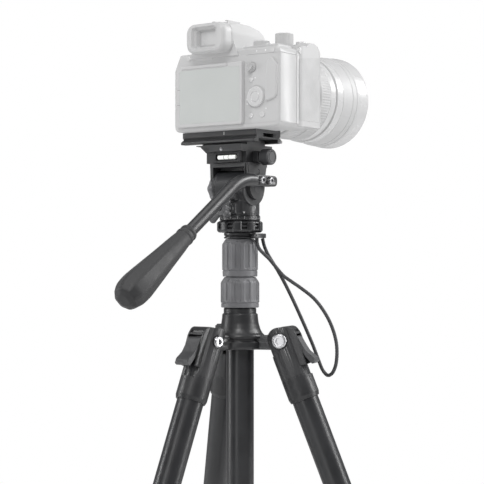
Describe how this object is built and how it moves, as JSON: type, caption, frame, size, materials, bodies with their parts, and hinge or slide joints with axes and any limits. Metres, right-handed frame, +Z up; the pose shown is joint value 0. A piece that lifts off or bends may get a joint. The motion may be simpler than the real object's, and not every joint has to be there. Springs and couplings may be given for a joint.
{
  "type": "camera on tripod",
  "caption": "Mirrorless camera with zoom lens and hood on a fluid pan-and-tilt head with one handle, on a collapsed tripod with a two-part centre column.",
  "frame": {"origin": "middle of the whole object's footprint box, at floor height", "axes": "+Z up; +Y the way the lens looks; +X the operator's right"},
  "size_m": [0.3508, 0.3934, 0.6903],
  "materials": {
    "black_aluminium": "satin black anodised",
    "black_plastic": "fine matte black",
    "grey_rubber": "ribbed mid-grey rubber",
    "dark_rubber": "soft dark grey rubber",
    "steel": "bright turned steel",
    "pale_plastic": "pale grey, fine texture",
    "pale_rubber": "pale grey rubber",
    "screen": "pale grey gloss",
    "lens_glass": "coated glass",
    "vial": "clear, liquid filled",
    "strap_cord": "woven dark cord"
  },
  "bodies": {
    "spider": {"spider": "black_aluminium", "leg_1_pivot_bolt": "steel", "leg_2_pivot_bolt": "steel", "leg_3_pivot_bolt": "steel"},
    "leg_1": {"leg_1_casting": "black_aluminium", "leg_1_upper_tube": "black_aluminium"},
    "leg_1_tab": {"leg_1_angle_tab": "dark_rubber"},
    "leg_1_lock": {"leg_1_twist_lock": "grey_rubber"},
    "leg_1_section": {"leg_1_lower_tube": "black_aluminium", "leg_1_foot": "dark_rubber"},
    "leg_2": {"leg_2_casting": "black_aluminium", "leg_2_upper_tube": "black_aluminium"},
    "leg_2_tab": {"leg_2_angle_tab": "dark_rubber"},
    "leg_2_lock": {"leg_2_twist_lock": "grey_rubber"},
    "leg_2_section": {"leg_2_lower_tube": "black_aluminium", "leg_2_foot": "dark_rubber"},
    "leg_3": {"leg_3_casting": "black_aluminium", "leg_3_upper_tube": "black_aluminium"},
    "leg_3_tab": {"leg_3_angle_tab": "dark_rubber"},
    "leg_3_lock": {"leg_3_twist_lock": "grey_rubber"},
    "leg_3_section": {"leg_3_lower_tube": "black_aluminium", "leg_3_foot": "dark_rubber"},
    "column_lower_lock": {"column_lower_lock": "grey_rubber"},
    "outer_column": {"column_outer_tube": "black_aluminium", "column_end_cap": "black_plastic"},
    "column_upper_lock": {"column_upper_lock": "grey_rubber"},
    "inner_column": {"column_inner_tube": "black_aluminium", "column_top_plate": "black_aluminium", "pan_scale_ring": "black_aluminium", "strap_link": "steel", "wrist_strap": "strap_cord"},
    "head_lock_ring": {"head_lock_ring": "black_aluminium"},
    "pan_unit": {"pan_base": "black_aluminium", "tilt_shaft": "steel"},
    "pan_knob": {"pan_knob": "black_plastic"},
    "tilt_unit": {"tilt_cradle": "black_aluminium", "clamp_body": "black_aluminium", "bubble_vial": "vial", "arm_tube": "black_aluminium", "arm_grip": "dark_rubber", "arm_screw_1": "steel", "arm_screw_2": "steel"},
    "tilt_knob": {"tilt_knob": "grey_rubber"},
    "clamp_knob": {"clamp_knob": "black_plastic"},
    "clamp_pad": {"clamp_pad": "steel"},
    "camera": {"release_plate": "black_aluminium", "camera_screw": "steel", "camera_body": "pale_plastic", "lens_barrel": "pale_plastic", "front_lens": "lens_glass", "eyecup": "pale_rubber"},
    "screen": {"screen_panel": "screen"},
    "mode_dial": {"mode_dial": "pale_plastic"},
    "rear_dial": {"rear_dial": "pale_plastic"},
    "shutter_button": {"shutter_button": "pale_plastic"},
    "joystick": {"joystick": "pale_rubber"},
    "control_wheel": {"control_wheel": "pale_plastic"},
    "zoom_ring": {"zoom_ring": "pale_rubber"},
    "focus_ring": {"focus_ring": "pale_rubber"},
    "lens_hood": {"lens_hood": "pale_plastic"}
  },
  "joints": [
    {"name": "leg_1_spread", "type": "hinge", "parent": "spider", "child": "leg_1", "pos_m": [0.02675, 0.03464, 0.37268], "axis": [0.3584, -0.9336, 0], "range_deg": [-20, 55]},
    {"name": "leg_1_tab_pull", "type": "hinge", "parent": "leg_1", "child": "leg_1_tab", "pos_m": [0.03592, 0.03816, 0.38327], "axis": [0.3584, -0.9336, 0], "range_deg": [0, 18], "stiffness_Nm_per_rad": 0.6},
    {"name": "leg_1_lock_turn", "type": "hinge", "parent": "leg_1", "child": "leg_1_lock", "pos_m": [0.13188, 0.075, 0.08385], "axis": [0.3391, 0.1302, -0.9317], "range_deg": [0, 90]},
    {"name": "leg_1_extend", "type": "slide", "parent": "leg_1", "child": "leg_1_section", "axis": [0.3391, 0.1302, -0.9317], "range_m": [0, 0.2]},
    {"name": "leg_2_spread", "type": "hinge", "parent": "spider", "child": "leg_2", "pos_m": [-0.04937, 0.0467, 0.37268], "axis": [0.6293, 0.7771, 0], "range_deg": [-20, 55]},
    {"name": "leg_2_tab_pull", "type": "hinge", "parent": "leg_2", "child": "leg_2_tab", "pos_m": [-0.05701, 0.05288, 0.38327], "axis": [0.6293, 0.7771, 0], "range_deg": [0, 18], "stiffness_Nm_per_rad": 0.6},
    {"name": "leg_2_lock_turn", "type": "hinge", "parent": "leg_2", "child": "leg_2_lock", "pos_m": [-0.13689, 0.11757, 0.08385], "axis": [-0.2823, 0.2286, -0.9317], "range_deg": [0, 90]},
    {"name": "leg_2_extend", "type": "slide", "parent": "leg_2", "child": "leg_2_section", "axis": [-0.2823, 0.2286, -0.9317], "range_m": [0, 0.2]},
    {"name": "leg_3_spread", "type": "hinge", "parent": "spider", "child": "leg_3", "pos_m": [-0.02175, -0.02526, 0.37268], "axis": [-0.9877, 0.1564, 0], "range_deg": [-20, 55]},
    {"name": "leg_3_tab_pull", "type": "hinge", "parent": "leg_3", "child": "leg_3_tab", "pos_m": [-0.02329, -0.03496, 0.38327], "axis": [-0.9877, 0.1564, 0], "range_deg": [0, 18], "stiffness_Nm_per_rad": 0.6},
    {"name": "leg_3_lock_turn", "type": "hinge", "parent": "leg_3", "child": "leg_3_lock", "pos_m": [-0.03937, -0.13648, 0.08385], "axis": [-0.0568, -0.3588, -0.9317], "range_deg": [0, 90]},
    {"name": "leg_3_extend", "type": "slide", "parent": "leg_3", "child": "leg_3_section", "axis": [-0.0568, -0.3588, -0.9317], "range_m": [0, 0.2]},
    {"name": "column_lower_lock_turn", "type": "hinge", "parent": "spider", "child": "column_lower_lock", "pos_m": [-0.01479, 0.01869, 0.41768], "axis": [0, 0, 1], "range_deg": [0, 90]},
    {"name": "column_raise", "type": "slide", "parent": "spider", "child": "outer_column", "axis": [0, 0, 1], "range_m": [0, 0.2]},
    {"name": "column_upper_lock_turn", "type": "hinge", "parent": "outer_column", "child": "column_upper_lock", "pos_m": [-0.01479, 0.01869, 0.45268], "axis": [0, 0, 1], "range_deg": [0, 90]},
    {"name": "column_extend", "type": "slide", "parent": "outer_column", "child": "inner_column", "axis": [0, 0, 1], "range_m": [0, 0.18]},
    {"name": "head_lock_ring_turn", "type": "hinge", "parent": "inner_column", "child": "head_lock_ring", "pos_m": [-0.01479, 0.01869, 0.48568], "axis": [0, 0, 1], "range_deg": [0, 60]},
    {"name": "pan", "type": "hinge", "parent": "inner_column", "child": "pan_unit", "pos_m": [-0.01479, 0.01869, 0.50268], "axis": [0, 0, 1], "continuous": true},
    {"name": "pan_knob_turn", "type": "hinge", "parent": "pan_unit", "child": "pan_knob", "pos_m": [-0.01279, -0.00631, 0.50368], "axis": [0, -1, 0], "range_deg": [-90, 90]},
    {"name": "tilt", "type": "hinge", "parent": "pan_unit", "child": "tilt_unit", "pos_m": [-0.01479, 0.01569, 0.52418], "axis": [1, 0, 0], "range_deg": [-80, 35]},
    {"name": "tilt_knob_turn", "type": "hinge", "parent": "pan_unit", "child": "tilt_knob", "pos_m": [-0.04279, 0.01569, 0.52418], "axis": [-1, 0, 0], "range_deg": [0, 180]},
    {"name": "clamp_knob_turn", "type": "hinge", "parent": "tilt_unit", "child": "clamp_knob", "pos_m": [0.01521, 0.01869, 0.55418], "axis": [1, 0, 0], "range_deg": [0, 180]},
    {"name": "clamp_pad_lift", "type": "slide", "parent": "tilt_unit", "child": "clamp_pad", "axis": [0, 0, 1], "range_m": [-0.001, 0]},
    {"name": "plate_slide", "type": "slide", "parent": "tilt_unit", "child": "camera", "axis": [1, 0, 0], "range_m": [-0.025, 0.02]},
    {"name": "screen_swing", "type": "hinge", "parent": "camera", "child": "screen", "pos_m": [-0.06839, -0.01231, 0.61268], "axis": [0, 0, -1], "range_deg": [0, 176]},
    {"name": "mode_dial_turn", "type": "hinge", "parent": "camera", "child": "mode_dial", "pos_m": [0.03521, 0.02469, 0.66768], "axis": [0, 0, 1], "continuous": true},
    {"name": "rear_dial_turn", "type": "hinge", "parent": "camera", "child": "rear_dial", "pos_m": [0.01921, 0.00869, 0.66368], "axis": [0, 0, 1], "continuous": true},
    {"name": "shutter_press", "type": "slide", "parent": "camera", "child": "shutter_button", "axis": [0, 0, -1], "range_m": [0, 0.0015], "stiffness_N_per_m": 400},
    {"name": "joystick_tilt", "type": "hinge", "parent": "camera", "child": "joystick", "pos_m": [0.02121, -0.00961, 0.63968], "axis": [1, 0, 0], "range_deg": [-8, 8], "stiffness_Nm_per_rad": 0.05},
    {"name": "control_wheel_turn", "type": "hinge", "parent": "camera", "child": "control_wheel", "pos_m": [0.02621, -0.01131, 0.61068], "axis": [0, 1, 0], "continuous": true},
    {"name": "zoom_turn", "type": "hinge", "parent": "camera", "child": "zoom_ring", "pos_m": [-0.02479, 0.09869, 0.62468], "axis": [0, 1, 0], "range_deg": [0, 70]},
    {"name": "focus_turn", "type": "hinge", "parent": "camera", "child": "focus_ring", "pos_m": [-0.02479, 0.12869, 0.62468], "axis": [0, 1, 0], "continuous": true},
    {"name": "hood_twist", "type": "hinge", "parent": "camera", "child": "lens_hood", "pos_m": [-0.02479, 0.16869, 0.62468], "axis": [0, 1, 0], "range_deg": [0, 60]}
  ],
  "couplings": [
    {"joint": "clamp_knob_turn", "follows": "clamp_pad_lift", "rad_per_m": -3141.6}
  ]
}
